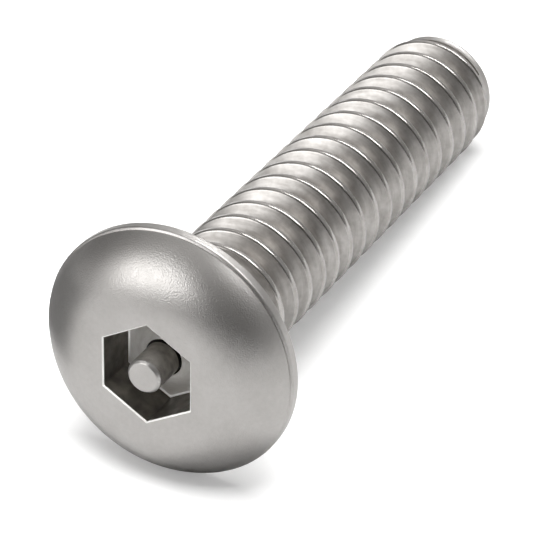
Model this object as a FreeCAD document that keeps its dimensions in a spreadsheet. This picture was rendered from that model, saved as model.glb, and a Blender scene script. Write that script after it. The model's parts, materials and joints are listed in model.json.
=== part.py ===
"""Pin-in-hex button head security screw: one solid, built about its own axis and laid down at rest."""

import FreeCAD, Part

import math
import os
import re
from enum import IntEnum

import Sketcher

# Driving sizes in millimetres and degrees. The screw's own axis is Z: the face that bears on the
# work is at Z = 0, the head is on the minus side and the thread on the plus side.
SIZES = {
    "head_dia": 9.24,
    "head_height": 1.92,
    "rim_band": 0.34,
    "face_margin": 0.22,
    "socket_flats": 3.22,
    "floor_wall": 0.12,
    "mouth_bevel": 0.04,
    "floor_bevel": 0.09,
    "bevel_taper": -45,
    "pin_dia": 1.24,
    "pin_proud": 0.22,
    "pin_chamfer": 0.1,
    "well_width": 0.09,
    "well_depth": 0.14,
    "thread_dia": 4.735,
    "thread_pitch": 1.0583,
    "crest_flat": 0.19,
    "root_flat": 0.175,
    "flank_angle": 30,
    "thread_start": 1.4967,
    "shank_length": 21,
    "tip_chamfer_long": 0.5,
    "tip_chamfer_deep": 0.22,
    "tip_ring_long": 0.4,
    "tip_edge": 0.07,
    "neck_relief": 0.03,
    "neck_flare": 0.15,
    "neck_shoulder": 0.35,
    "cut_clearance": 0.3,
    "hex_sides": 6,
    "lying_roll": -2.5,
}

# Sizes that follow from the driving ones, as sheet formulas.
DERIVED = {
    "head_r": "=head_dia / 2",
    "hex_corner_r": "=socket_flats / 2 / cos(180 / hex_sides)",
    "mouth_corner_r": "=hex_corner_r + mouth_bevel / cos(180 / hex_sides)",
    "face_r": "=hex_corner_r + face_margin",
    "dome_rise": "=head_height - rim_band",
    "dome_run": "=head_r - face_r",
    "dome_r": "=(dome_rise ^ 2 + dome_run ^ 2) / (2 * dome_rise)",
    "socket_depth": "=head_height - floor_wall",
    "pin_r": "=pin_dia / 2",
    "thread_r": "=thread_dia / 2",
    "gap_at_crest": "=thread_pitch - crest_flat",
    "thread_depth": "=(gap_at_crest - root_flat) / 2 / tan(flank_angle)",
    "root_r": "=thread_r - thread_depth",
    "neck_r": "=root_r - neck_relief",
    "neck_length": "=thread_start + gap_at_crest / 2",
    "thread_travel": "=shank_length - thread_start",
    "pin_top": "=head_height + pin_proud",
    "tip_r": "=thread_r - tip_chamfer_deep",
    "ring_start": "=shank_length - tip_ring_long",
    "crest_below": "=thread_start + (thread_pitch - gap_at_crest) / 2 - thread_pitch * lying_roll / 360",
    "turns_below": "=floor((ring_start - tip_chamfer_long - crest_below) / thread_pitch)",
    "contact_from_head": "=crest_below + turns_below * thread_pitch",
    "lean": "=atan((head_r - thread_r) / contact_from_head)",
    "lying_turn": "=acos(0) + lean",
    "reach_tip": "=shank_length * cos(lean) + (tip_r - tip_edge) * sin(lean)",
    "reach_pin": "=pin_top * cos(lean) + (pin_r - pin_chamfer) * sin(lean)",
}

START, END, CENTRE = 1, 2, 3
FULL_TURN = 360


class Datum(IntEnum):
    """A sketch's own origin and axes, by the numbers that the Sketcher module knows them by."""

    ORIGIN = -1
    H_AXIS = -1
    V_AXIS = -2


def make_sheet(doc):
    """Write every size into a spreadsheet under its own alias.

    Args:
        doc: The open document.

    Returns:
        The spreadsheet object, named and labelled Sizes.
    """
    sheet = doc.addObject("Spreadsheet::Sheet", "Sizes")
    rows = {name: str(value) for name, value in SIZES.items()} | DERIVED
    for row, (name, text) in enumerate(rows.items(), start=1):
        sheet.set(f"A{row}", name)
        sheet.set(f"B{row}", text)
        sheet.setAlias(f"B{row}", name)
    doc.recompute()
    return sheet


def size(sheet, formula):
    """Work out a formula of sheet aliases, as a plain number for a first position.

    Args:
        sheet: The spreadsheet of sizes.
        formula: Text such as "head_r - face_r".

    Returns:
        The value as a float.
    """
    result = sheet.evalExpression(formula)
    return float(getattr(result, "Value", result))


def on_sheet(formula):
    """Rewrite a formula of bare aliases so that an object outside the sheet can use it."""
    known = SIZES.keys() | DERIVED.keys()
    return re.sub("[a-z_]+", lambda word: ("Sizes." if word[0] in known else "") + word[0], formula)


def sketch_on(body, role, name):
    """Add an empty sketch on one of the body's own origin planes.

    Args:
        body: The body that takes the sketch.
        role: "XY_Plane" or "XZ_Plane".
        name: Name and label of the sketch.

    Returns:
        The new sketch.
    """
    plane = next(item for item in body.Origin.OriginFeatures if item.Role == role)
    sketch = body.newObject("Sketcher::SketchObject", name)
    sketch.AttachmentSupport = [(plane, "")]
    sketch.MapMode = "FlatFace"
    return sketch


def place(sketch, sheet, geometry, end, across, along, tag):
    """Hold one end of a sketch line by two distances from the origin, bound to the sheet.

    Args:
        sketch: The sketch.
        sheet: The spreadsheet of sizes.
        geometry: Index of the line or arc.
        end: START, END or CENTRE.
        across: Formula of the distance along the sketch's first axis, or None when on the second.
        along: Formula of the distance along the sketch's second axis, or None when on the first.
        tag: Text that names the two constraints.
    """
    for kind, formula, axis in (("DistanceX", across, Datum.V_AXIS), ("DistanceY", along, Datum.H_AXIS)):
        if formula is None:
            sketch.addConstraint(Sketcher.Constraint("PointOnObject", geometry, end, axis))
            continue
        value = size(sheet, formula)
        index = sketch.addConstraint(Sketcher.Constraint(kind, Datum.ORIGIN, START, geometry, end, value))
        label = f"{tag}_{kind[-1].lower()}"
        sketch.renameConstraint(index, label)
        sketch.setExpression(f"Constraints.{label}", on_sheet(formula))


def outline(sketch, sheet, corners, skip=()):
    """Draw a closed outline of straight sides through corners given as pairs of formulas.

    Args:
        sketch: The sketch.
        sheet: The spreadsheet of sizes.
        corners: List of (name, across, along), where None puts the corner on the other axis.
        skip: Names of corners whose side to the next corner is drawn by the caller.

    Returns:
        Dict from a corner's name to the index of the side that starts there.
    """
    def spot(corner):
        return FreeCAD.Vector(*(size(sheet, text) if text else 0 for text in corner[1:]), 0)

    sides = {}
    following = corners[1:] + corners[:1]
    for corner, after in zip(corners, following):
        if corner[0] not in skip:
            segment = Part.LineSegment(spot(corner), spot(after))
            sides[corner[0]] = sketch.addGeometry(segment, False)
    for corner, before in zip(corners, corners[-1:] + corners[:-1]):
        name = corner[0]
        if name in sides:
            place(sketch, sheet, sides[name], START, corner[1], corner[2], name)
            if before[0] in sides:
                joint = Sketcher.Constraint("Coincident", sides[before[0]], END, sides[name], START)
                sketch.addConstraint(joint)
    return sides


def arc_between(sketch, sheet, sides, before, after, centre):
    """Join the end of one side to the start of another by an arc that leaves the first smoothly.

    Args:
        sketch: The sketch.
        sheet: The spreadsheet of sizes.
        sides: Dict from outline().
        before: Name of the side that the arc follows.
        after: Name of the side that follows the arc.
        centre: Pair of formulas of a first position of the arc's centre.

    Returns:
        Index of the arc.
    """
    first = sketch.Geometry[sides[before]].EndPoint
    last = sketch.Geometry[sides[after]].StartPoint
    middle = FreeCAD.Vector(*(size(sheet, text) for text in centre), 0)
    angles = [math.atan2(end.y - middle.y, end.x - middle.x) for end in (first, last)]
    circle = Part.Circle(middle, FreeCAD.Vector(0, 0, 1), (first - middle).Length)
    arc = sketch.addGeometry(Part.ArcOfCircle(circle, *angles), False)
    sketch.addConstraint(Sketcher.Constraint("Tangent", sides[before], END, arc, START))
    sketch.addConstraint(Sketcher.Constraint("Coincident", arc, END, sides[after], START))
    return arc


def turned_blank(body, sheet):
    """Turn the head and the plain shank in one, before any socket or thread is cut."""
    sketch = sketch_on(body, "XZ_Plane", "BlankProfile")
    corners = [
        ("axis", None, "-head_height"),
        ("face", "face_r", "-head_height"),
        ("rim_front", "head_r", "-rim_band"),
        ("rim_back", "head_r", None),
        ("under_head", "neck_r + neck_flare", None),
        ("neck_start", "neck_r", "neck_flare"),
        ("neck_end", "neck_r", "neck_length"),
        ("shoulder", "thread_r", "neck_length + neck_shoulder"),
        ("chamfer", "thread_r", "ring_start - tip_chamfer_long"),
        ("ring", "tip_r", "ring_start"),
        ("ring_axis", None, "ring_start"),
    ]
    sides = outline(sketch, sheet, corners, skip=("face",))
    place(sketch, sheet, sides["axis"], END, "face_r", "-head_height", "face")
    arc_between(sketch, sheet, sides, "axis", "rim_front", ("face_r", "dome_r - head_height"))
    return turn(body, sketch, "PartDesign::Revolution", "Blank")


def turn(body, sketch, kind, name):
    """Turn a sketch all the way round the screw's axis.

    Args:
        body: The body that takes the feature.
        sketch: Profile on the XZ plane.
        kind: "PartDesign::Revolution" or "PartDesign::Groove".
        name: Name of the feature.

    Returns:
        The feature.
    """
    feature = body.newObject(kind, name)
    feature.Profile = sketch
    feature.ReferenceAxis = (sketch, ["V_Axis"])
    feature.Angle = FULL_TURN
    sketch.Visibility = False
    return feature


def hexagon(body, sheet, name, height, corner_r="hex_corner_r"):
    """Draw one of the socket's hexagons on a plane square to the axis.

    Args:
        body: The body that takes the sketch.
        sheet: The spreadsheet of sizes.
        name: Name of the sketch.
        height: Formula of the plane's Z.
        corner_r: Formula of the distance from the axis to each corner.

    Returns:
        The sketch.
    """
    sketch = sketch_on(body, "XY_Plane", name)
    sketch.setExpression(".AttachmentOffset.Base.z", on_sheet(height))
    count = int(size(sheet, "hex_sides"))
    radius = size(sheet, corner_r)
    step = math.tau / count
    spots = [
        FreeCAD.Vector(radius * math.cos(step * i), radius * math.sin(step * i), 0)
        for i in range(count)
    ]
    for start, end in zip(spots, spots[1:] + spots[:1]):
        sketch.addGeometry(Part.LineSegment(start, end), False)
    ring = sketch.addGeometry(Part.Circle(FreeCAD.Vector(), FreeCAD.Vector(0, 0, 1), radius), True)
    sketch.addConstraint(Sketcher.Constraint("Coincident", ring, CENTRE, Datum.ORIGIN, START))
    sketch.addConstraint(Sketcher.Constraint("PointOnObject", 0, START, Datum.H_AXIS))
    for side in range(count):
        after = (side + 1) % count
        sketch.addConstraint(Sketcher.Constraint("Coincident", side, END, after, START))
        sketch.addConstraint(Sketcher.Constraint("PointOnObject", side, START, ring))
        if side:
            sketch.addConstraint(Sketcher.Constraint("Equal", 0, side))
    index = sketch.addConstraint(Sketcher.Constraint("Radius", ring, radius))
    sketch.renameConstraint(index, "corner_radius")
    sketch.setExpression("Constraints.corner_radius", on_sheet(corner_r))
    return sketch


def pocket(body, sketch, name, length, taper=None):
    """Cut a sketch into the head, away from its face and towards the thread.

    Args:
        body: The body that takes the feature.
        sketch: Profile square to the axis.
        name: Name of the feature.
        length: Formula of the depth.
        taper: Formula of the walls' lean in degrees, or None for straight walls.

    Returns:
        The feature.
    """
    feature = body.newObject("PartDesign::Pocket", name)
    feature.Profile = sketch
    feature.Type = "Length"
    feature.Reversed = True
    feature.setExpression("Length", on_sheet(length))
    if taper:
        feature.setExpression("TaperAngle", on_sheet(taper))
    sketch.Visibility = False
    return feature


def socket(body, sheet):
    """Cut the hexagon socket with a bevel at its mouth and its floor, and stand the pin in it."""
    walls = hexagon(body, sheet, "WallHexagon", "-head_height")
    pocket(body, walls, "SocketWalls", "socket_depth - floor_bevel")
    low = hexagon(body, sheet, "FloorHexagon", "socket_depth - floor_bevel - head_height")
    pocket(body, low, "SocketFloor", "floor_bevel", "bevel_taper")
    mouth = hexagon(body, sheet, "MouthHexagon", "-head_height", "mouth_corner_r")
    pocket(body, mouth, "SocketMouth", "mouth_bevel", "bevel_taper")
    pin = sketch_on(body, "XZ_Plane", "PinProfile")
    floor = "socket_depth - head_height"
    corners = [
        ("low_axis", None, f"{floor} + well_depth"),
        ("low", "pin_r", f"{floor} + well_depth"),
        ("chamfer", "pin_r", "pin_chamfer - pin_top"),
        ("top", "pin_r - pin_chamfer", "-pin_top"),
        ("top_axis", None, "-pin_top"),
    ]
    outline(pin, sheet, corners)
    well = sketch_on(body, "XZ_Plane", "WellProfile")
    corners = [
        ("in_low", "pin_r", f"{floor} + well_depth"),
        ("in_high", "pin_r", f"{floor} - well_depth"),
        ("out_high", "pin_r + well_width", f"{floor} - well_depth"),
        ("out_low", "pin_r + well_width", f"{floor} + well_depth"),
    ]
    outline(well, sheet, corners)
    turn(body, pin, "PartDesign::Revolution", "Pin")
    return turn(body, well, "PartDesign::Groove", "PinWell")


def thread(body, sheet):
    """Cut the thread's groove along a right-hand helix, from the neck out past the last crest."""
    sketch = sketch_on(body, "XZ_Plane", "ThreadProfile")
    outer = "-(thread_r + cut_clearance)"
    low = "thread_start - gap_at_crest / 2"
    high = "thread_start + gap_at_crest / 2"
    corners = [
        ("root_low", "-root_r", "thread_start - root_flat / 2"),
        ("crest_low", "-thread_r", low),
        ("out_low", outer, low),
        ("out_high", outer, high),
        ("crest_high", "-thread_r", high),
        ("root_high", "-root_r", "thread_start + root_flat / 2"),
    ]
    outline(sketch, sheet, corners)
    groove = body.newObject("PartDesign::SubtractiveHelix", "Thread")
    groove.Profile = sketch
    groove.ReferenceAxis = (sketch, ["V_Axis"])
    groove.Mode = "pitch-height-angle"
    groove.setExpression("Pitch", on_sheet("thread_pitch"))
    groove.setExpression("Height", on_sheet("thread_travel"))
    sketch.Visibility = False
    return groove


def tip_ring(body, sheet):
    """Close the tip with a plain ring, where the thread has run out on the blank."""
    sketch = sketch_on(body, "XZ_Plane", "TipProfile")
    corners = [
        ("back_axis", None, "ring_start"),
        ("back", "tip_r", "ring_start"),
        ("edge", "tip_r", "shank_length - tip_edge"),
        ("end", "tip_r - tip_edge", "shank_length"),
        ("end_axis", None, "shank_length"),
    ]
    outline(sketch, sheet, corners)
    return turn(body, sketch, "PartDesign::Revolution", "TipRing")


def lay_down(body, sheet):
    """Lay the screw on its rim and its last thread, centred over the origin on Z = 0."""
    spot = "vector((reach_pin - reach_tip) / 2; 0; head_r * cos(lean))"
    turn_down = "rotation(vector(0; 1; 0); lying_turn)"
    roll = "rotation(vector(0; 0; 1); lying_roll)"
    body.setExpression("Placement", on_sheet(f"placement({spot}; {turn_down} * {roll})"))


def check(doc):
    """Stop with a message if any object failed or any solid is missing or broken."""
    for item in doc.Objects:
        if {"Invalid", "Error"} & set(item.State):
            raise RuntimeError(f"{item.Label} did not build: {item.State}")
        shape = getattr(item, "Shape", None)
        if item.isDerivedFrom("PartDesign::Feature") and (shape.isNull() or not shape.isValid()):
            raise RuntimeError(f"{item.Label} has no sound shape")


def main():
    """Build the screw and write its solid."""
    doc = FreeCAD.newDocument("SecurityScrew")
    sheet = make_sheet(doc)
    body = doc.addObject("PartDesign::Body", "Screw")
    body.Label = "security_screw"
    turned_blank(body, sheet)
    doc.recompute()
    socket(body, sheet)
    doc.recompute()
    thread(body, sheet)
    doc.recompute()
    tip_ring(body, sheet)
    lay_down(body, sheet)
    doc.recompute()
    check(doc)
    os.makedirs("parts", exist_ok=True)
    body.Shape.exportStep(f"parts/{body.Label}.step")
    return doc


document = main()
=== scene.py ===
"""Dresses the pin hex security screw: a turned skin with a rolled thread, steel finishes and a studio."""

import json
import logging
import math
from dataclasses import dataclass
from enum import Enum

import bmesh
import bpy
from mathutils import Matrix, Quaternion, Vector


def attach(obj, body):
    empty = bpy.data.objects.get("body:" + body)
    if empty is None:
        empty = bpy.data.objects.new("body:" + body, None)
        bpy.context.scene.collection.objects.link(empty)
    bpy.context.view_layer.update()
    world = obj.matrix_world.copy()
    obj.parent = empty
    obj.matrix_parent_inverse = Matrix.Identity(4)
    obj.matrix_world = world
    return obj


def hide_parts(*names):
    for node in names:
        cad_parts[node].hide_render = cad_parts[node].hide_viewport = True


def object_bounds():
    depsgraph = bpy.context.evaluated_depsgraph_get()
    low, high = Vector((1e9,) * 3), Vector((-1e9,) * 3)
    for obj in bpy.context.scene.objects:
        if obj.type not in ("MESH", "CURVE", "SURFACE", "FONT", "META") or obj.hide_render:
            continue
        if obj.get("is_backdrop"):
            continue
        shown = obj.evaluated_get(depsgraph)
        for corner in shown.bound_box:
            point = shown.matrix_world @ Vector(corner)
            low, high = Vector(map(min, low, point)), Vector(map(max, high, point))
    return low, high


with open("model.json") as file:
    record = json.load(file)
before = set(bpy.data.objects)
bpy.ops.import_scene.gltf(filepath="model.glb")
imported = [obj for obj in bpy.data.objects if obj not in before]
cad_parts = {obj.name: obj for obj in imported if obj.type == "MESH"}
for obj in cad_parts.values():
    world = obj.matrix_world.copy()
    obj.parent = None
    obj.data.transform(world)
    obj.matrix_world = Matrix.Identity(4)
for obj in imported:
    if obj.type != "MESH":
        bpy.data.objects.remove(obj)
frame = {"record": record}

LOG = logging.getLogger("security_screw")
MM = 0.001
NODE = "security_screw"
BODY = "root"
COLUMNS = 144
POLE_RADIUS = 0.05
WELD = 2e-7
SHARP_ANGLE = math.radians(27)
CLIMB_STRETCH = 2.6


class Area(Enum):
    """The surfaces of the screw that have a finish of their own."""

    HEAD = "tumbled_head_steel"
    # Painted shade: the socket's walls are coloured dark for the shade inside the recess.
    WALLS = "painted_shade_socket_steel"
    # Painted light: the socket's floor is coloured near white for the light it mirrors.
    FLOOR = "painted_light_socket_floor_steel"
    THREAD = "rolled_thread_steel"
    # Painted highlight: the lip of the mouth is coloured near white and is not metallic.
    LIP = "painted_highlight_lip_steel"
    PIN = "pin_side_steel"
    TIP = "plain_tip_steel"
    # Painted shade: the well round the pin's foot is coloured almost black.
    WELL = "painted_shade_well_steel"
    # Painted highlight: the crease along the floor's edge is coloured near white.
    CREASE = "painted_highlight_crease_steel"

    @property
    def number(self) -> int:
        """Give the place of the area's material in the skin's list."""
        return list(Area).index(self)


@dataclass(frozen=True)
class ScrewAxes:
    """The screw's own axes in the frame: Z from the head's bearing face to the tip, X downwards."""

    origin: Vector
    along: Vector

    @classmethod
    def from_record(cls, record: dict) -> "ScrewAxes":
        """Read the axis from the record's mounts.

        Args:
            record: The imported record.

        Returns:
            The axes, with the bearing face's centre as their origin.
        """
        mounts = {mount["name"]: mount for mount in record["mounts"]}
        along = Vector(mounts["under_head"]["axis"]).normalized()
        face = Vector(mounts["under_head"]["pos_m"])
        mouth = Vector(mounts["hex_socket"]["pos_m"])
        return cls(origin=mouth + along * (face - mouth).dot(along), along=along)

    def matrix(self) -> Matrix:
        """Give the matrix from the screw's own axes to the frame.

        Returns:
            The matrix, for places in metres.
        """
        side = Vector((0, 1, 0))
        down = side.cross(self.along)
        turn = Matrix((down, side, self.along)).transposed().to_4x4()
        return Matrix.Translation(self.origin) @ turn


@dataclass(frozen=True)
class Corner:
    """A corner of a turned outline, with the radius that it is rounded by."""

    across: float
    along: float
    round: float = 0.0


@dataclass(frozen=True)
class Outline:
    """An outline through rounded corners, in millimetres, with rows that hold each edge crisp."""

    corners: tuple[Corner, ...]
    steps: int = 4
    hold: float = 0.03
    round_limit: float = 0.45
    hold_limit: float = 0.49

    def rows(self) -> list[tuple[float, float]]:
        """Give the outline's points, each rounded corner as an arc between two holding rows.

        Returns:
            Pairs of a distance across and a place along.
        """
        made: list[tuple[float, float]] = []
        last = len(self.corners) - 1
        for index, corner in enumerate(self.corners):
            if corner.round and 0 < index < last:
                made += self.arc(self.corners[index - 1], corner, self.corners[index + 1])
            else:
                made.append((corner.across, corner.along))
        return made

    def arc(self, before: Corner, corner: Corner, after: Corner) -> list[tuple[float, float]]:
        """Round one corner.

        Args:
            before: The corner before it.
            corner: The corner to round.
            after: The corner after it.

        Returns:
            Points of a smooth bend with a holding row at each end.
        """
        spot = Vector((corner.across, corner.along))
        back = Vector((before.across, before.along)) - spot
        ahead = Vector((after.across, after.along)) - spot
        reach = min(corner.round, back.length * self.round_limit, ahead.length * self.round_limit)
        first = spot + back.normalized() * reach
        final = spot + ahead.normalized() * reach
        points = [spot + back.normalized() * min(reach + self.hold, back.length * self.hold_limit)]
        for step in range(self.steps + 1):
            share = step / self.steps
            points.append(first.lerp(spot, share).lerp(spot.lerp(final, share), share))
        points.append(spot + ahead.normalized() * min(reach + self.hold, ahead.length * self.hold_limit))
        return [(point.x, point.y) for point in points]


@dataclass
class Lathe:
    """Builds rings of points round the screw's axis and joins each ring to the one before it."""

    mesh: bmesh.types.BMesh
    start_angle: float
    ring: list[bmesh.types.BMVert] | None = None
    material: int = 0

    def pole(self, along: float) -> None:
        """Start from a point on the axis.

        Args:
            along: Its place along the axis in millimetres.
        """
        self.ring = [self.mesh.verts.new((0, 0, along * MM))]

    def row(self, across: float, along: float, sides: int = 0) -> None:
        """Add a ring.

        Args:
            across: Radius of a round ring, or the distance from the axis to a flat, in millimetres.
            along: Place along the axis in millimetres.
            sides: Number of flats, or 0 for a round ring.
        """
        ring = []
        for column in range(COLUMNS):
            turn = math.tau * column / COLUMNS
            radius = across
            if sides:
                flat = math.tau / sides
                radius = across / math.cos(turn % flat - flat / 2)
            angle = self.start_angle + turn
            place = (radius * math.cos(angle) * MM, radius * math.sin(angle) * MM, along * MM)
            ring.append(self.mesh.verts.new(place))
        self.join(ring)

    def join(self, ring: list[bmesh.types.BMVert]) -> None:
        """Skin between the last ring and a new one.

        Args:
            ring: The new ring's vertices, or a single one on the axis.
        """
        for column in range(COLUMNS) if self.ring else ():
            after = (column + 1) % COLUMNS
            loop = [self.ring[column % len(self.ring)], self.ring[after % len(self.ring)]]
            loop += [ring[after % len(ring)], ring[column % len(ring)]]
            face = self.mesh.faces.new(list(dict.fromkeys(loop)))
            face.material_index = self.material
            face.smooth = True
        self.ring = ring

    def close(self, along: float) -> None:
        """End in a point on the axis.

        Args:
            along: Its place along the axis in millimetres.
        """
        self.join([self.mesh.verts.new((0, 0, along * MM))])


@dataclass
class Head:
    """The button head with its hexagon socket and centre pin, in millimetres."""

    radius: float = 4.615
    height: float = 1.92
    rim_band: float = 0.34
    rim_round: float = 0.055
    face_margin: float = 0.22
    socket_flats: float = 3.22
    socket_turn: float = -2.5
    floor_wall: float = 0.24
    floor_rise: float = 0.52
    floor_round: float = 0.03
    slope_rows: int = 8
    slope_margin: float = 0.2
    slope_end: float = 0.08
    slope_share: float = 0.68
    slope_power: float = 1.6
    mouth_bevel: float = 0.045
    mouth_round: float = 0.012
    lip_reach: float = 1.2
    face_reach: float = 3.0
    floor_bevel: float = 0.055
    crease_reach: float = 1.1
    edge_margin: float = 0.06
    pin_radius: float = 0.62
    pin_proud: float = 0.22
    pin_chamfer: float = 0.1
    chamfer_reach: float = 1.5
    pin_end_round: float = 0.02
    pin_side_round: float = 0.03
    well_width: float = 0.06
    well_depth: float = 0.12
    well_round: float = 0.05
    sides: int = 6
    dome_rows: int = 44
    rim_reach: float = 1.6
    rim_drop: float = 0.85
    rim_hold: float = 0.02
    flare: float = 0.15
    neck_radius: float = 1.737
    neck_round: float = 0.05
    neck_row: float = 0.3

    def start_angle(self) -> float:
        """Give the angle of the socket's first corner."""
        return math.radians(self.socket_turn)

    def crown(self) -> float:
        """Give the place of the floor's highest ring, round the pin's well."""
        return -self.floor_wall - self.floor_rise

    def well_radius(self) -> float:
        """Give the outer radius of the well round the pin's foot."""
        return self.pin_radius + self.well_width

    def build(self, lathe: Lathe) -> None:
        """Turn the pin, the socket, the dome, the rim and the underside, out to the neck.

        Args:
            lathe: The lathe that takes the rings.
        """
        self.pin(lathe)
        self.socket(lathe)
        self.dome(lathe)

    def pin(self, lathe: Lathe) -> None:
        """Turn the pin from its end down into the well round its foot.

        Args:
            lathe: The lathe that takes the rings.
        """
        top = -self.height - self.pin_proud
        well_floor = self.crown() + self.well_depth
        slope_start = self.crown() + self.floor_rise * (1 - self.slope_share)
        outline = Outline((
            Corner(POLE_RADIUS, top),
            Corner(self.pin_radius - self.pin_chamfer, top, self.pin_end_round),
            Corner(self.pin_radius, top + self.pin_chamfer, self.pin_side_round),
            Corner(self.pin_radius, self.crown() - self.well_width),
            Corner(self.pin_radius, well_floor, self.pin_side_round),
            Corner(self.well_radius(), well_floor, self.pin_side_round),
            Corner(self.well_radius(), self.crown(), self.well_round),
            Corner(self.well_radius() + self.slope_margin, slope_start),
        ))
        lathe.pole(top)
        for across, along in outline.rows():
            lathe.material = self.pin_area(across, along).number
            lathe.row(across, along)

    def pin_area(self, across: float, along: float) -> Area:
        """Tell which surface a row of the pin or its well ends.

        Args:
            across: Radius of the row.
            along: Place of the row along the axis.

        Returns:
            The surface between the row before it and this one.
        """
        if across > self.well_radius() + WELD / MM:
            return Area.FLOOR
        if along > self.crown() - self.well_width / 2:
            return Area.WELL
        chamfered = along < -self.height - self.pin_proud + self.pin_chamfer * self.chamfer_reach
        return Area.HEAD if chamfered else Area.PIN

    def socket(self, lathe: Lathe) -> None:
        """Form the floor that rises to the pin, the six walls and the lip of the mouth, which carries a
        painted highlight.

        Args:
            lathe: The lathe that takes the rings.
        """
        floor = -self.floor_wall
        face = -self.height
        apothem = self.socket_flats / 2
        lathe.material = Area.FLOOR.number
        inner = self.well_radius() + self.slope_margin
        outer = apothem - self.floor_bevel - self.slope_end
        for step in range(1, self.slope_rows):
            share = step / self.slope_rows
            lift = self.floor_rise * self.slope_share * (1 - share) ** self.slope_power
            lathe.row(inner + (outer - inner) * share, floor - lift)
        outline = Outline((
            Corner(apothem - self.floor_bevel - self.edge_margin, floor),
            Corner(apothem - self.floor_bevel, floor, self.floor_round),
            Corner(apothem, floor - self.floor_bevel, self.floor_round),
            Corner(apothem, face + self.mouth_bevel, self.mouth_round),
            Corner(apothem + self.mouth_bevel, face, self.mouth_round),
            Corner(apothem + self.mouth_bevel * self.face_reach, face),
        ), hold=self.mouth_round / 3)
        for across, along in outline.rows():
            lathe.material = self.socket_area(across, along).number
            lathe.row(across, along, self.sides)

    def socket_area(self, across: float, along: float) -> Area:
        """Tell which surface a row of the socket ends.

        Args:
            across: Distance of the row's flats from the axis.
            along: Place of the row along the axis.

        Returns:
            The surface between the row before it and this one.
        """
        apothem = self.socket_flats / 2
        from_floor = -self.floor_wall - along
        from_face = along + self.height
        if from_face < self.mouth_bevel:
            return Area.LIP if across < apothem + self.mouth_bevel * self.lip_reach else Area.HEAD
        if from_floor < self.floor_bevel:
            return Area.CREASE if across > apothem - self.floor_bevel * self.crease_reach else Area.FLOOR
        return Area.WALLS

    def dome(self, lathe: Lathe) -> None:
        """Turn the face, the dome, the rim band and the flat underside.

        Args:
            lathe: The lathe that takes the rings.
        """
        corner_radius = self.socket_flats / 2 / math.cos(math.pi / self.sides)
        face_radius = corner_radius + self.face_margin
        rise = self.height - self.rim_band
        run = self.radius - face_radius
        dome_radius = (rise ** 2 + run ** 2) / (2 * rise)
        sweep = math.asin(run / dome_radius)
        lathe.material = Area.HEAD.number
        lathe.row(face_radius - self.edge_margin, -self.height)
        for step in range(self.dome_rows + 1):
            angle = sweep * step / self.dome_rows
            across = face_radius + dome_radius * math.sin(angle)
            along = -self.height + dome_radius * (1 - math.cos(angle))
            if across < self.radius - self.rim_round:
                lathe.row(across, along)
        band_start = self.radius - self.rim_round * self.rim_reach
        outline = Outline((
            Corner(band_start, -self.rim_band - self.rim_round * self.rim_drop),
            Corner(self.radius, -self.rim_band, self.rim_round),
            Corner(self.radius, 0, self.rim_round),
            Corner(self.neck_radius + self.flare, 0, self.neck_round),
            Corner(self.neck_radius, self.flare, self.neck_round),
            Corner(self.neck_radius, self.flare + self.neck_row),
        ), hold=self.rim_hold)
        for across, along in outline.rows():
            lathe.row(across, along)


@dataclass
class Shank:
    """The neck, the rolled thread and the plain ring at the tip, in millimetres."""

    thread_radius: float = 2.3675
    pitch: float = 1.0583
    crest_flat: float = 0.19
    crest_round: float = 0.05
    root_flat: float = 0.175
    root_round: float = 0.02
    thread_hold: float = 0.0264575
    flank_angle: float = 30.0
    thread_start: float = 1.504
    shoulder: float = 0.35
    length: float = 21.0
    chamfer_long: float = 0.5
    chamfer_deep: float = 0.22
    ring_long: float = 0.4
    tip_edge: float = 0.1
    tip_round: float = 0.04
    edge_share: float = 0.3
    tip_waist: float = 0.03
    waist_share: float = 0.3
    waist_round: float = 0.06
    ring_round: float = 0.05
    tip_hold: float = 0.01
    neck_radius: float = 1.737

    def neck_end(self) -> float:
        """Give the place where the neck ends and the thread's shoulder begins."""
        return self.thread_start + (self.pitch - self.crest_flat) / 2

    def ring_start(self) -> float:
        """Give the place where the plain ring of the tip begins."""
        return self.length - self.ring_long

    def tip_radius(self) -> float:
        """Give the radius of the plain ring."""
        return self.thread_radius - self.chamfer_deep

    def section(self) -> list[tuple[float, float]]:
        """Give one pitch of the thread, from the middle of one root to the middle of the next.

        Returns:
            Pairs of a radius and a place along.
        """
        gap = self.pitch - self.crest_flat
        depth = (gap - self.root_flat) / 2 / math.tan(math.radians(self.flank_angle))
        root = self.thread_radius - depth
        outline = Outline((
            Corner(root, 0),
            Corner(root, self.root_flat / 2, self.root_round),
            Corner(self.thread_radius, gap / 2, self.crest_round),
            Corner(self.thread_radius, gap / 2 + self.crest_flat, self.crest_round),
            Corner(root, self.pitch - self.root_flat / 2, self.root_round),
            Corner(root, self.pitch),
        ), steps=3, hold=self.thread_hold)
        return outline.rows()

    def build_neck(self, lathe: Lathe) -> None:
        """Turn the plain neck up to the thread.

        Args:
            lathe: The lathe that takes the ring.
        """
        lathe.row(self.neck_radius, self.neck_end())

    def build_tip(self, lathe: Lathe) -> None:
        """Turn the plain ring and the flat end, from the thread to the axis.

        Args:
            lathe: The lathe that takes the rings.
        """
        radius, waist, edge = self.tip_radius(), self.ring_long * self.waist_share, self.tip_edge
        lathe.ring = None
        lathe.material = Area.TIP.number
        outline = Outline((
            Corner(radius, self.ring_start()),
            Corner(radius - self.tip_waist, self.ring_start() + waist, self.waist_round),
            Corner(radius, self.length - edge, self.ring_round),
            Corner(radius - edge * self.edge_share, self.length - edge * self.edge_share, self.tip_round),
            Corner(radius - edge, self.length, self.tip_round),
            Corner(POLE_RADIUS, self.length),
        ), hold=self.tip_hold)
        for across, along in outline.rows():
            lathe.row(across, along)
        lathe.close(self.length)


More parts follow.
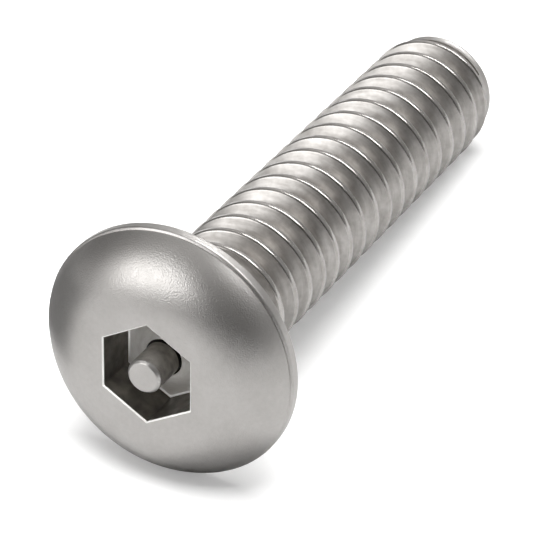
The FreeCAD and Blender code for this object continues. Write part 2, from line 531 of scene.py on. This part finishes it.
class NodeMaker:
    """Adds and joins the nodes of one tree."""

    def __init__(self, tree: bpy.types.NodeTree) -> None:
        """Keep the tree.

        Args:
            tree: The tree that takes the nodes.
        """
        self.tree = tree

    def add(self, kind: str, **settings: object) -> bpy.types.Node:
        """Add a node with settings.

        Args:
            kind: Name of the node's type.
            settings: Properties to set on it.

        Returns:
            The node.
        """
        made = self.tree.nodes.new(kind)
        for name, value in settings.items():
            setattr(made, name, value)
        return made

    def link(self, source: object, target: bpy.types.NodeSocket) -> None:
        """Set a socket from another socket or from a value.

        Args:
            source: A socket to join it to, or the value that it takes.
            target: The socket to set.
        """
        if isinstance(source, bpy.types.NodeSocket):
            self.tree.links.new(source, target)
        else:
            target.default_value = source

    def math(self, operation: str, *values: object) -> bpy.types.NodeSocket:
        """Add a sum.

        Args:
            operation: Name of the Math node's operation.
            values: Sockets or numbers that it works on.

        Returns:
            The result's socket.
        """
        made = self.add("ShaderNodeMath", operation=operation)
        for value, target in zip(values, made.inputs):
            self.link(value, target)
        return made.outputs[0]

    def noise(self, place: object, scale: float, detail: float, rough: float) -> bpy.types.NodeSocket:
        """Add a noise and give its value.

        Args:
            place: Socket of the coordinates.
            scale: Size of the noise.
            detail: How many finer layers it has.
            rough: Strength of the finer layers.

        Returns:
            The value's socket.
        """
        made = self.add("ShaderNodeTexNoise")
        self.link(place, made.inputs["Vector"])
        made.inputs["Scale"].default_value = scale
        made.inputs["Detail"].default_value = detail
        made.inputs["Roughness"].default_value = rough
        return made.outputs[0]

    def ramp(self, value: object, *limits: object, smooth: bool = False) -> bpy.types.NodeSocket:
        """Add a ramp, held at both ends.

        Args:
            value: Socket of what is ramped.
            limits: The two places and the two results.
            smooth: Whether it eases in and out.

        Returns:
            The result's socket.
        """
        kind = "SMOOTHSTEP" if smooth else "LINEAR"
        made = self.add("ShaderNodeMapRange", clamp=True, interpolation_type=kind)
        for source, target in zip((value, *limits), made.inputs):
            self.link(source, target)
        return made.outputs[0]

    def mix(self, share: object, first: object, second: object) -> bpy.types.NodeSocket:
        """Mix two colours.

        Args:
            share: Socket or number that says how much of the second one shows.
            first: The first colour.
            second: The second colour.

        Returns:
            The mixed colour's socket.
        """
        made = self.add("ShaderNodeMix", data_type="RGBA")
        # The colour sockets stand after those for numbers and vectors, under the same names.
        for source, target in zip((share, first, second), (made.inputs[0], made.inputs[6], made.inputs[7])):
            self.link(source, target)
        return made.outputs[2]


class ThreadTree(NodeMaker):
    """Geometry Nodes that sweep one pitch of a thread along a helix and trim it at both ends."""

    INPUTS = ("Pitch", "Start Angle", "First Place", "Low End", "High End", "Shoulder",
              "Neck Radius", "Thread Radius", "Chamfer", "Tip Radius")

    def __init__(self) -> None:
        """Make the empty tree and its named inputs."""
        super().__init__(bpy.data.node_groups.new("rolled_thread", "GeometryNodeTree"))
        face = self.tree.interface
        face.new_socket("Geometry", in_out="INPUT", socket_type="NodeSocketGeometry")
        for name in self.INPUTS:
            face.new_socket(name, in_out="INPUT", socket_type="NodeSocketFloat")
        for name in ("Columns", "Turns", "Section Points"):
            face.new_socket(name, in_out="INPUT", socket_type="NodeSocketInt")
        face.new_socket("Material", in_out="INPUT", socket_type="NodeSocketMaterial")
        face.new_socket("Geometry", in_out="OUTPUT", socket_type="NodeSocketGeometry")
        self.given = self.tree.nodes.new("NodeGroupInput")
        self.wire()

    def wire(self) -> None:
        """Join up the sweep: a grid whose columns go round the helix and whose rows cross a pitch."""
        given = self.given.outputs
        steps = self.math("MULTIPLY", given["Columns"], given["Turns"])
        grid = self.add("GeometryNodeMeshGrid")
        self.link(self.math("ADD", steps, 1), grid.inputs["Vertices X"])
        self.link(given["Section Points"], grid.inputs["Vertices Y"])
        index = self.add("GeometryNodeInputIndex").outputs[0]
        middle = self.math("ADD", index, 0.5)
        column = self.math("FLOOR", self.math("DIVIDE", middle, given["Section Points"]))
        turns = self.math("DIVIDE", column, given["Columns"])
        moved = self.add("GeometryNodeSetPosition")
        self.link(grid.outputs["Mesh"], moved.inputs["Geometry"])
        self.link(self.helix_spot(self.section_point(index), turns), moved.inputs["Position"])
        smooth = self.add("GeometryNodeSetShadeSmooth")
        self.link(moved.outputs[0], smooth.inputs["Geometry"])
        real = self.add("GeometryNodeRealizeInstances")
        self.link(smooth.outputs[0], real.inputs[0])
        painted = self.add("GeometryNodeSetMaterial")
        self.link(real.outputs[0], painted.inputs["Geometry"])
        self.link(given["Material"], painted.inputs["Material"])
        final = self.add("NodeGroupOutput")
        self.link(painted.outputs[0], final.inputs[0])

    def section_point(self, index: bpy.types.NodeSocket) -> bpy.types.Node:
        """Read the section's point that a grid point stands for.

        Args:
            index: Socket of the grid point's number.

        Returns:
            A node that splits the point: X is its radius and Z its place along.
        """
        given = self.given.outputs
        sample = self.add("GeometryNodeSampleIndex", data_type="FLOAT_VECTOR", domain="POINT")
        self.link(given["Geometry"], sample.inputs["Geometry"])
        self.link(self.add("GeometryNodeInputPosition").outputs[0], sample.inputs["Value"])
        self.link(self.math("MODULO", index, given["Section Points"]), sample.inputs["Index"])
        point = self.add("ShaderNodeSeparateXYZ")
        self.link(sample.outputs[0], point.inputs[0])
        return point

    def helix_spot(self, point: bpy.types.Node, turns: bpy.types.NodeSocket) -> bpy.types.NodeSocket:
        """Carry a point of the section round the helix, within the shoulder and the chamfer.

        Args:
            point: The split point of the section.
            turns: Socket of the turns made so far.

        Returns:
            The socket of the point's place.
        """
        given = self.given.outputs
        low, high, tip = given["Low End"], given["High End"], given["Tip Radius"]
        angle = self.math("ADD", self.math("MULTIPLY", turns, math.tau), given["Start Angle"])
        climb = self.math("MULTIPLY", turns, given["Pitch"])
        raw = self.math("ADD", self.math("ADD", climb, point.outputs["Z"]), given["First Place"])
        place = self.math("MINIMUM", self.math("MAXIMUM", raw, low), high)
        shoulder_end = self.math("ADD", low, given["Shoulder"])
        shoulder = self.ramp(place, low, shoulder_end, given["Neck Radius"], given["Thread Radius"])
        chamfer_start = self.math("SUBTRACT", high, given["Chamfer"])
        chamfer = self.ramp(place, chamfer_start, high, given["Thread Radius"], tip)
        radius = self.math("MINIMUM", point.outputs["X"], self.math("MINIMUM", shoulder, chamfer))
        past = self.math("GREATER_THAN", raw, high)
        filled = self.math("MULTIPLY_ADD", past, self.math("SUBTRACT", tip, radius), radius)
        spot = self.add("ShaderNodeCombineXYZ")
        self.link(self.math("MULTIPLY", filled, self.math("COSINE", angle)), spot.inputs[0])
        self.link(self.math("MULTIPLY", filled, self.math("SINE", angle)), spot.inputs[1])
        self.link(place, spot.inputs[2])
        return spot.outputs[0]

    def sweep(self, shank: Shank, start_angle: float, material: bpy.types.Material) -> bpy.types.Mesh:
        """Sweep a shank's thread and return it as a plain mesh.

        Args:
            shank: The sizes of the thread.
            start_angle: Angle of the first column.
            material: What the thread is made of.

        Returns:
            The mesh in metres, in the screw's own axes.
        """
        section = shank.section()
        line = bpy.data.meshes.new("thread_section")
        line.from_pydata([(across * MM, 0, along * MM) for across, along in section], [], [])
        piece = bpy.data.objects.new("thread_section", line)
        bpy.context.collection.objects.link(piece)
        turned = (start_angle - math.pi) / math.tau % 1
        length = shank.ring_start() - shank.neck_end()
        before = math.ceil((shank.thread_start - shank.neck_end()) / shank.pitch + turned + 2)
        first = shank.thread_start + (turned - before) * shank.pitch
        values = {
            "Pitch": shank.pitch * MM,
            "Start Angle": start_angle,
            "First Place": first * MM,
            "Low End": shank.neck_end() * MM,
            "High End": shank.ring_start() * MM,
            "Shoulder": shank.shoulder * MM,
            "Neck Radius": shank.neck_radius * MM,
            "Thread Radius": shank.thread_radius * MM,
            "Chamfer": shank.chamfer_long * MM,
            "Tip Radius": shank.tip_radius() * MM,
            "Columns": COLUMNS,
            "Turns": math.ceil(length / shank.pitch) + before + 1,
            "Section Points": len(section),
            "Material": material,
        }
        modifier = piece.modifiers.new("thread", "NODES")
        modifier.node_group = self.tree
        for item in self.tree.interface.items_tree:
            if item.in_out == "INPUT" and item.name in values:
                modifier[item.identifier] = values[item.name]
        view = bpy.context.evaluated_depsgraph_get()
        swept = bpy.data.meshes.new_from_object(piece.evaluated_get(view))
        piece.modifiers.remove(modifier)
        bpy.data.objects.remove(piece)
        bpy.data.meshes.remove(line)
        return swept


def screw_coordinates(axes: ScrewAxes) -> bpy.types.NodeTree:
    """Make the shared group that gives places in the screw's own axes.

    Args:
        axes: The screw's own axes.

    Returns:
        A group with a straight place, in millimetres, and one that runs round with the thread.
    """
    tree = bpy.data.node_groups.new("screw_coordinates", "ShaderNodeTree")
    tree.interface.new_socket("Round Stretch", in_out="INPUT", socket_type="NodeSocketFloat")
    for name in ("Straight", "Round"):
        tree.interface.new_socket(name, in_out="OUTPUT", socket_type="NodeSocketVector")
    tree.interface.new_socket("Radius", in_out="OUTPUT", socket_type="NodeSocketFloat")
    make = NodeMaker(tree)
    given = make.add("NodeGroupInput")
    place = make.add("ShaderNodeTexCoord")
    turn = make.add("ShaderNodeMapping", vector_type="POINT")
    back = Matrix.Scale(1 / MM, 4) @ axes.matrix().inverted()
    turn.inputs["Location"].default_value = back.to_translation()
    turn.inputs["Rotation"].default_value = back.to_euler()
    turn.inputs["Scale"].default_value = (1 / MM,) * 3
    make.link(place.outputs["Object"], turn.inputs["Vector"])
    split = make.add("ShaderNodeSeparateXYZ")
    make.link(turn.outputs[0], split.inputs[0])
    x, y, z = split.outputs
    angle = make.math("ARCTAN2", y, x)
    radius = make.math("SQRT", make.math("ADD", make.math("MULTIPLY", x, x), make.math("MULTIPLY", y, y)))
    ahead = make.math("MULTIPLY", make.math("COSINE", angle), given.outputs[0])
    aside = make.math("MULTIPLY", make.math("SINE", angle), given.outputs[0])
    lift = make.math("MULTIPLY", make.math("ADD", z, radius), CLIMB_STRETCH)
    curved = make.add("ShaderNodeCombineXYZ")
    for source, target in zip((ahead, aside, lift), curved.inputs):
        make.link(source, target)
    final = make.add("NodeGroupOutput")
    make.link(turn.outputs[0], final.inputs["Straight"])
    make.link(curved.outputs[0], final.inputs["Round"])
    make.link(radius, final.inputs["Radius"])
    return tree


@dataclass(frozen=True)
class Steel:
    """A finish of stainless steel."""

    area: Area
    light: tuple[float, float, float]
    dark: tuple[float, float, float]
    smooth: float
    rough: float
    cloud_size: float
    stretch: float
    grain_size: float
    grain_depth: float
    crest: float = 0.0
    crest_radius: float = 2.33
    crest_depth: float = 0.04
    metal: float = 1.0
    cloud_share: float = 0.65
    cloud_layers: int = 4
    spot_layers: int = 3
    spots_per_grain: float = 3.0
    layer_strength: float = 0.6
    grain_layers: int = 2
    grain_strength: float = 0.5
    low_tone: float = 0.36
    high_tone: float = 0.64

    def make(self, coordinates: bpy.types.NodeTree) -> bpy.types.Material:
        """Make the material.

        Args:
            coordinates: The shared group of screw coordinates.

        Returns:
            The material.
        """
        material = bpy.data.materials.new(self.area.value)
        material.use_nodes = True
        make = NodeMaker(material.node_tree)
        shader = material.node_tree.nodes["Principled BSDF"]
        shader.inputs["Metallic"].default_value = self.metal
        place = make.add("ShaderNodeGroup")
        place.node_tree = coordinates
        place.inputs["Round Stretch"].default_value = self.stretch
        share = self.tone(make, place)
        make.link(make.mix(share, (*self.dark, 1), (*self.light, 1)), shader.inputs["Base Color"])
        rough = make.ramp(share, 0, 1, self.rough, self.smooth)
        if self.crest:
            foot = self.crest_radius - self.crest_depth
            polish = make.ramp(place.outputs["Radius"], foot, self.crest_radius, 0, 1)
            rough = make.math("MULTIPLY_ADD", polish, make.math("SUBTRACT", self.crest, rough), rough)
        make.link(rough, shader.inputs["Roughness"])
        straight = place.outputs["Straight"]
        grain = make.noise(straight, self.grain_size, self.grain_layers, self.grain_strength)
        bump = make.add("ShaderNodeBump")
        bump.inputs["Strength"].default_value = 1
        bump.inputs["Distance"].default_value = self.grain_depth * MM
        make.link(grain, bump.inputs["Height"])
        make.link(bump.outputs[0], shader.inputs["Normal"])
        return material

    def tone(self, make: NodeMaker, place: bpy.types.Node) -> bpy.types.NodeSocket:
        """Blend broad clouds with small spots.

        Args:
            make: The maker of the material's nodes.
            place: The node that gives places on the screw.

        Returns:
            The socket of a value from 0, dark and rough, to 1, light and smooth.
        """
        around = place.outputs["Round" if self.stretch else "Straight"]
        cloud = make.noise(around, self.cloud_size, self.cloud_layers, self.layer_strength)
        spot_size = self.grain_size / self.spots_per_grain
        spots = make.noise(place.outputs["Straight"], spot_size, self.spot_layers, self.layer_strength)
        broad = make.math("MULTIPLY", cloud, self.cloud_share)
        blend = make.math("MULTIPLY_ADD", spots, 1 - self.cloud_share, broad)
        return make.ramp(blend, self.low_tone, self.high_tone, 0, 1)


FINISHES = (
    Steel(Area.HEAD, light=(0.52, 0.505, 0.49), dark=(0.46, 0.445, 0.43), smooth=0.30, rough=0.36,
          cloud_size=0.5, stretch=0.0, grain_size=19.0, grain_depth=0.0105),
    # Painted shade: the socket's walls are far darker than the steel, for the shade inside the recess.
    Steel(Area.WALLS, light=(0.22, 0.205, 0.18), dark=(0.12, 0.11, 0.096), smooth=0.38, rough=0.48,
          cloud_size=1.2, stretch=0.0, grain_size=7.0, grain_depth=0.006, metal=0.85),
    # Painted light: the socket's floor is near white and not metallic, standing in for the light it mirrors;
    # its circling marks are its own tone.
    Steel(Area.FLOOR, light=(0.98, 0.96, 0.93), dark=(0.80, 0.77, 0.73), smooth=0.50, rough=0.62,
          cloud_size=1.4, stretch=1.2, grain_size=7.0, grain_depth=0.008, metal=0.0),
    Steel(Area.THREAD, light=(0.54, 0.522, 0.504), dark=(0.37, 0.352, 0.334), smooth=0.35, rough=0.41,
          cloud_size=1.5, stretch=1.2, grain_size=12.0, grain_depth=0.0008, crest=0.19),
    # Painted highlight: the mouth's lip is near white and not metallic, so it reads as a bright line.
    Steel(Area.LIP, light=(0.86, 0.85, 0.83), dark=(0.80, 0.79, 0.77), smooth=0.45, rough=0.55,
          cloud_size=1.2, stretch=0.0, grain_size=7.0, grain_depth=0.001, metal=0.0),
    Steel(Area.PIN, light=(0.50, 0.476, 0.443), dark=(0.26, 0.243, 0.22), smooth=0.40, rough=0.50,
          cloud_size=1.3, stretch=1.2, grain_size=7.0, grain_depth=0.006, metal=0.75),
    Steel(Area.TIP, light=(0.52, 0.506, 0.492), dark=(0.47, 0.456, 0.442), smooth=0.42, rough=0.48,
          cloud_size=1.2, stretch=0.0, grain_size=12.0, grain_depth=0.0015),
    # Painted shade: the well round the pin's foot is almost black.
    Steel(Area.WELL, light=(0.06, 0.055, 0.05), dark=(0.04, 0.037, 0.033), smooth=0.45, rough=0.55,
          cloud_size=1.2, stretch=0.0, grain_size=7.0, grain_depth=0.003),
    # Painted highlight: the crease along the floor's edge is near white, far brighter than the steel.
    Steel(Area.CREASE, light=(0.98, 0.97, 0.95), dark=(0.92, 0.91, 0.89), smooth=0.35, rough=0.42,
          cloud_size=1.2, stretch=0.0, grain_size=7.0, grain_depth=0.001),
)


@dataclass
class Screw:
    """The whole screw as one closed skin over the plain solid."""

    axes: ScrewAxes
    head: Head
    shank: Shank

    def build(self, materials: list[bpy.types.Material]) -> bpy.types.Object:
        """Turn the head and the tip, sweep the thread between them and weld the three.

        Args:
            materials: One material for each area, in the areas' order.

        Returns:
            The finished piece.
        """
        mesh = bmesh.new()
        lathe = Lathe(mesh, self.head.start_angle())
        self.head.build(lathe)
        lathe.material = Area.THREAD.number
        self.shank.build_neck(lathe)
        self.shank.build_tip(lathe)
        turned = len(mesh.faces)
        swept = ThreadTree().sweep(self.shank, self.head.start_angle(), materials[Area.THREAD.number])
        mesh.from_mesh(swept)
        bpy.data.meshes.remove(swept)
        for face in list(mesh.faces)[turned:]:
            face.material_index = Area.THREAD.number
            face.smooth = True
        self.weld(mesh)
        mesh.transform(self.axes.matrix())
        data = bpy.data.meshes.new("screw_skin")
        mesh.to_mesh(data)
        mesh.free()
        for material in materials:
            data.materials.append(material)
        piece = bpy.data.objects.new("screw_skin", data)
        bpy.context.collection.objects.link(piece)
        return piece

    def weld(self, mesh: bmesh.types.BMesh) -> None:
        """Close the seams, turn the faces outwards and keep the sharp edges crisp.

        Args:
            mesh: The mesh of the turned and the swept parts.
        """
        bmesh.ops.remove_doubles(mesh, verts=mesh.verts, dist=WELD)
        bmesh.ops.dissolve_degenerate(mesh, dist=WELD, edges=mesh.edges)
        bmesh.ops.recalc_face_normals(mesh, faces=mesh.faces)
        for edge in mesh.edges:
            edge.smooth = len(edge.link_faces) != 2 or edge.calc_face_angle() < SHARP_ANGLE
        open_edges = sum(len(edge.link_faces) != 2 for edge in mesh.edges)
        LOG.info("skin: %d faces, %d open edges", len(mesh.faces), open_edges)


def direction(azimuth: float, height: float) -> Vector:
    """Turn an azimuth and a height into a direction.

    Args:
        azimuth: Angle round the screw in degrees.
        height: Angle above the floor in degrees.

    Returns:
        A vector of length 1.
    """
    around, lift = math.radians(azimuth), math.radians(height)
    return Vector((math.cos(around) * math.cos(lift), math.sin(around) * math.cos(lift), math.sin(lift)))


@dataclass(frozen=True)
class Softbox:
    """A soft lamp aimed at the screw."""

    name: str
    azimuth: float
    height: float
    distance: float
    width: float
    tall: float
    power: float
    mirrored: bool
    roll: float = 0.0

    def place(self, target: Vector) -> bpy.types.Object:
        """Set up the lamp.

        Args:
            target: What it is aimed at.

        Returns:
            The lamp.
        """
        data = bpy.data.lights.new(self.name, "AREA")
        data.shape = "RECTANGLE"
        data.size = self.width
        data.size_y = self.tall
        data.energy = self.power
        lamp = bpy.data.objects.new(self.name, data)
        bpy.context.collection.objects.link(lamp)
        lamp.visible_glossy = self.mirrored
        lamp.visible_diffuse = not self.mirrored
        aim = direction(self.azimuth, self.height)
        lamp.location = target + aim * self.distance
        roll = Quaternion((0, 0, 1), math.radians(self.roll))
        lamp.rotation_euler = (aim.to_track_quat("Z", "Y") @ roll).to_euler()
        return lamp


@dataclass(frozen=True)
class Card:
    """A card beside the screw that shows only as a reflection in it, in millimetres."""

    name: str
    corners: tuple[tuple[float, float, float], ...]
    glow: float

    def place(self) -> None:
        """Stand the card on the floor."""
        data = bpy.data.meshes.new(self.name)
        data.from_pydata([Vector(corner) * MM for corner in self.corners], [], [range(len(self.corners))])
        card = bpy.data.objects.new(self.name, data)
        bpy.context.collection.objects.link(card)
        card.visible_camera = card.visible_diffuse = card.visible_shadow = False
        material = bpy.data.materials.new(self.name)
        material.use_nodes = True
        shader = material.node_tree.nodes["Principled BSDF"]
        shader.inputs["Base Color"].default_value = (0, 0, 0, 1)
        shader.inputs["Specular IOR Level"].default_value = 0
        shader.inputs["Emission Color"].default_value = (1, 1, 1, 1)
        shader.inputs["Emission Strength"].default_value = self.glow
        data.materials.append(material)
        card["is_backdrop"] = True


@dataclass(frozen=True)
class Glow:
    """A soft patch of the surround that is lighter or darker than the rest."""

    azimuth: float
    height: float
    inner: float
    outer: float
    gain: float

    def mask(self, make: NodeMaker, place: bpy.types.NodeSocket) -> bpy.types.NodeSocket:
        """Give 1 in the middle of the patch, falling to 0 at its edge.

        Args:
            make: The maker of the tree's nodes.
            place: Socket of the direction.

        Returns:
            The mask's socket.
        """
        dot = make.add("ShaderNodeVectorMath", operation="DOT_PRODUCT")
        make.link(place, dot.inputs[0])
        dot.inputs[1].default_value = direction(self.azimuth, self.height)
        edge, middle = math.cos(math.radians(self.outer)), math.cos(math.radians(self.inner))
        return make.ramp(dot.outputs["Value"], edge, middle, 0, 1, smooth=True)


SOFTBOXES = (
    Softbox("key_softbox", azimuth=150, height=31, distance=0.5,
            width=0.38, tall=0.30, power=0.99, mirrored=True, roll=45),
    Softbox("edge_softbox", azimuth=-22, height=53, distance=0.5,
            width=0.50, tall=0.08, power=1.5, mirrored=True),
    Softbox("rim_softbox", azimuth=-84, height=60, distance=0.5,
            width=0.12, tall=0.10, power=0.25, mirrored=True),
    Softbox("overhead_softbox", azimuth=-158, height=83, distance=0.5,
            width=0.32, tall=0.32, power=3.75, mirrored=False),
)
CARDS = (
    Card("head_flag", ((-15, 9, 0), (-6.5, 9, 0), (-6.5, 9, 6.5), (-15, 9, 6.5)), glow=0.27),
    Card("shank_flag", ((-6.2, 9, 0), (16, 9, 0), (16, 9, 2.2), (-6.2, 9, 2.2)), glow=0.1),
    Card("shank_bounce", ((-6.2, 9, 2.2), (16, 9, 2.2), (16, 9, 6.5), (-6.2, 9, 6.5)), glow=1.3),
)
GLOWS = (
    Glow(azimuth=0, height=90, inner=20, outer=70, gain=0.2),
    Glow(azimuth=15, height=18, inner=10, outer=42, gain=0.4),
    Glow(azimuth=-155, height=28, inner=15, outer=60, gain=-0.28),
    Glow(azimuth=75, height=20, inner=10, outer=55, gain=-0.15),
)


@dataclass
class Studio:
    """The pale floor, the lights and the camera."""

    heading: float = 27.43
    pitch: float = 37.98
    focal_pixels: float = 3302.0
    image_pixels: float = 540.0
    sensor: float = 36.0
    to_bearing: tuple[float, float, float] = (-3.176, 2.552, 109.53)
    floor_size: float = 3.0
    base: float = 0.36
    fill: float = 0.36
    tint: tuple[float, float, float] = (1, 0.99, 0.98)
    paper: tuple[float, float, float] = (0.8, 0.8, 0.8)
    floor_glow: float = 0.26
    # The rest shades the floor as the steel mirrors it, round the foot and along both sides.
    foot: tuple[float, float, float] = (-10.2, -2.5, 0.0)
    foot_near: float = 1.5
    foot_far: float = 4.5
    foot_shade: float = 0.62
    mirror_shade: float = 0.22
    side_near: float = 1.2
    side_far: float = 4.0
    side_shade: float = 0.7
    under_near: float = -2.5
    under_far: float = -6.5
    under_shade: float = 0.45
    behind_near: float = -8.0
    behind_far: float = -5.0

    def camera_axes(self) -> tuple[Vector, Vector, Vector]:
        """Work out which way the camera looks.

        Returns:
            The camera's right, up and forward directions.
        """
        around, dip = math.radians(self.heading), math.radians(self.pitch)
        level = Vector((math.cos(around), math.sin(around), 0))
        forward = level * math.cos(dip) - Vector((0, 0, math.sin(dip)))
        right = Vector((math.sin(around), -math.cos(around), 0))
        return right, right.cross(forward), forward

    def set_camera(self, bearing: Vector) -> None:
        """Put the camera where the photograph was taken from.

        Args:
            bearing: Centre of the head's bearing face.
        """
        right, up, forward = self.camera_axes()
        aside, below, ahead = self.to_bearing
        place = bearing - (right * aside - up * below + forward * ahead) * MM
        data = bpy.data.cameras.new("camera")
        data.sensor_width = self.sensor
        data.lens = self.focal_pixels / self.image_pixels * self.sensor
        data.clip_start = MM
        camera = bpy.data.objects.new("camera", data)
        bpy.context.collection.objects.link(camera)
        turn = Matrix((right, up, -forward)).transposed().to_4x4()
        camera.matrix_world = Matrix.Translation(place) @ turn
        bpy.context.scene.camera = camera

    def set_floor(self) -> None:
        """Lay the pale floor at height zero."""
        half = self.floor_size / 2
        data = bpy.data.meshes.new("floor")
        corners = [(-half, -half, 0), (half, -half, 0), (half, half, 0), (-half, half, 0)]
        data.from_pydata(corners, [], [range(len(corners))])
        floor = bpy.data.objects.new("floor", data)
        bpy.context.collection.objects.link(floor)
        material = bpy.data.materials.new("pale_floor")
        material.use_nodes = True
        make = NodeMaker(material.node_tree)
        material.node_tree.nodes.remove(material.node_tree.nodes["Principled BSDF"])
        paper = make.add("ShaderNodeBsdfDiffuse")
        glow = make.add("ShaderNodeEmission")
        path = make.add("ShaderNodeLightPath")
        seen = make.math("MULTIPLY", path.outputs["Is Camera Ray"], self.floor_glow)
        make.link(seen, glow.inputs["Strength"])
        shade = make.math("MULTIPLY", self.floor_shade(make), path.outputs["Is Glossy Ray"])
        make.link(make.mix(shade, (*self.paper, 1), (0, 0, 0, 1)), paper.inputs["Color"])
        both = make.add("ShaderNodeAddShader")
        make.link(paper.outputs[0], both.inputs[0])
        make.link(glow.outputs[0], both.inputs[1])
        make.link(both.outputs[0], material.node_tree.nodes["Material Output"].inputs["Surface"])
        data.materials.append(material)
        floor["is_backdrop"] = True

    def floor_shade(self, make: NodeMaker) -> bpy.types.NodeSocket:
        """Darken the floor under and beside the screw, for what the steel mirrors.

        Args:
            make: The maker of the floor's nodes.

        Returns:
            The socket of how much darker each place is.
        """
        spot = make.add("ShaderNodeTexCoord").outputs["Object"]
        foot = make.add("ShaderNodeVectorMath", operation="DISTANCE")
        make.link(spot, foot.inputs[0])
        foot.inputs[1].default_value = Vector(self.foot) * MM
        reach = (self.foot_near * MM, self.foot_far * MM)
        near = make.ramp(foot.outputs["Value"], *reach, self.foot_shade, 0, smooth=True)
        split = make.add("ShaderNodeSeparateXYZ")
        make.link(spot, split.inputs[0])
        left = make.ramp(split.outputs["Y"], self.side_near * MM, self.side_far * MM, 0, self.side_shade)
        right = make.ramp(split.outputs["Y"], self.under_far * MM, self.under_near * MM, 0, self.under_shade)
        behind = make.ramp(split.outputs["X"], self.behind_near * MM, self.behind_far * MM, 0, 1)
        beside = make.math("MULTIPLY", make.math("MAXIMUM", left, right), behind)
        return make.math("MAXIMUM", make.math("MAXIMUM", near, beside), self.mirror_shade)

    def set_sky(self) -> None:
        """Light the scene with a plain grey surround and soft, broad glows in it."""
        world = bpy.data.worlds.new("surround")
        world.use_nodes = True
        bpy.context.scene.world = world
        make = NodeMaker(world.node_tree)
        place = make.add("ShaderNodeTexCoord").outputs["Generated"]
        level = self.base
        for glow in GLOWS:
            raised = make.math("MULTIPLY_ADD", glow.mask(make, place), glow.gain, level)
            level = make.math("MAXIMUM", raised, 0)
        even = make.add("ShaderNodeLightPath").outputs["Is Diffuse Ray"]
        level = make.math("MULTIPLY_ADD", even, make.math("SUBTRACT", self.fill, level), level)
        make.link(level, world.node_tree.nodes["Background"].inputs["Strength"])
        world.node_tree.nodes["Background"].inputs["Color"].default_value = (*self.tint, 1)

    def build(self, bearing: Vector) -> None:
        """Set up the camera, the floor, the surround and the lamps.

        Args:
            bearing: Centre of the head's bearing face.
        """
        self.set_camera(bearing)
        self.set_floor()
        self.set_sky()
        for box in SOFTBOXES:
            box.place(bearing)
        for card in CARDS:
            card.place()
        bpy.context.scene.view_settings.view_transform = "Standard"


def plain_box(box: tuple) -> list[list[float]]:
    """Write a box's two corners as plain lists of numbers.

    Args:
        box: The two corners.

    Returns:
        The corners as lists.
    """
    return [[float(value) for value in corner] for corner in box]


def main(cad_box: list[list[float]]) -> None:
    """Build the screw's skin and the studio.

    Args:
        cad_box: The plain solid's box; not used.
    """
    axes = ScrewAxes.from_record(frame["record"])
    coordinates = screw_coordinates(axes)
    materials = [finish.make(coordinates) for finish in FINISHES]
    piece = Screw(axes, Head(), Shank()).build(materials)
    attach(piece, BODY)
    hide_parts(NODE)
    LOG.info("%s stands for %s", piece.name, NODE)
    Studio().build(axes.origin)
    LOG.info("studio is set")


if __name__ == "__main__":
    logging.basicConfig(level=logging.INFO)
    main(plain_box(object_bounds()))
